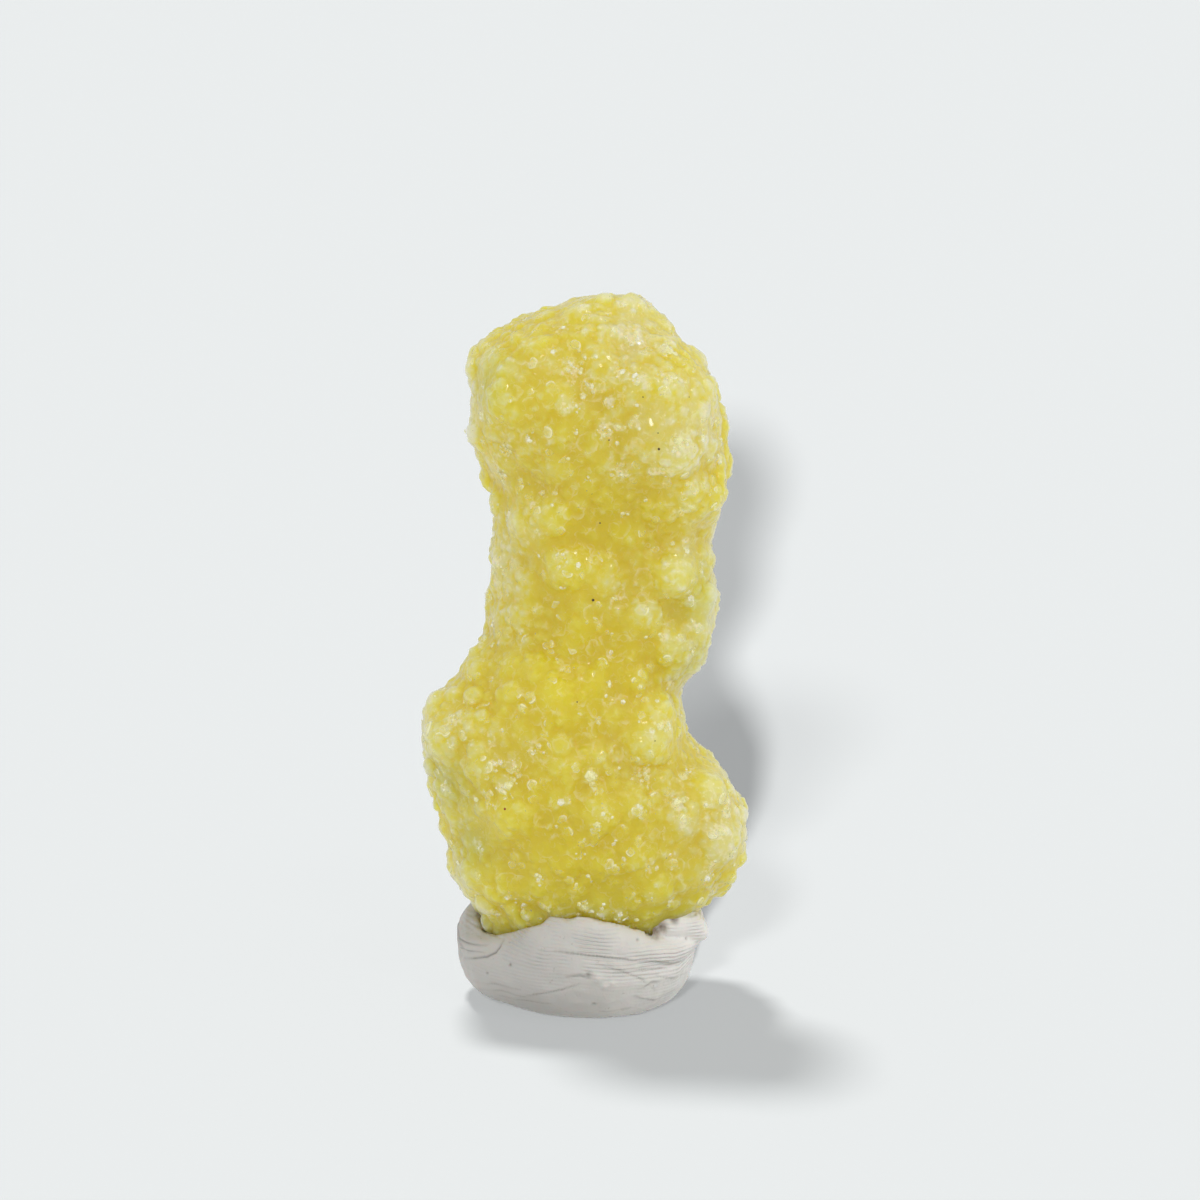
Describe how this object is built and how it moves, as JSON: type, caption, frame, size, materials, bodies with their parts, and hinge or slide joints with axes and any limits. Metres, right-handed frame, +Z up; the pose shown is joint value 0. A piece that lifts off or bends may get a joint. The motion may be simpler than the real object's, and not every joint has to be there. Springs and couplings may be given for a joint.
{
  "type": "brucite specimen",
  "caption": "Upright finger of botryoidal yellow brucite crystals, standing in a pressed lump of white mounting putty.",
  "frame": {"origin": "centre of the putty's flat underside", "axes": "+Z up along the finger, -Y towards the side that shows best, +X to the right seen from there"},
  "size_m": [0.0409, 0.0279, 0.0899],
  "materials": {
    "brucite": "translucent waxy to glassy, golden in the valleys and paler on the edges of its grains",
    "putty": "matt, pressed by hand, with creases and fine parallel ridges"
  },
  "bodies": {
    "root": {"brucite": "brucite", "putty_base": "putty"}
  },
  "joints": []
}
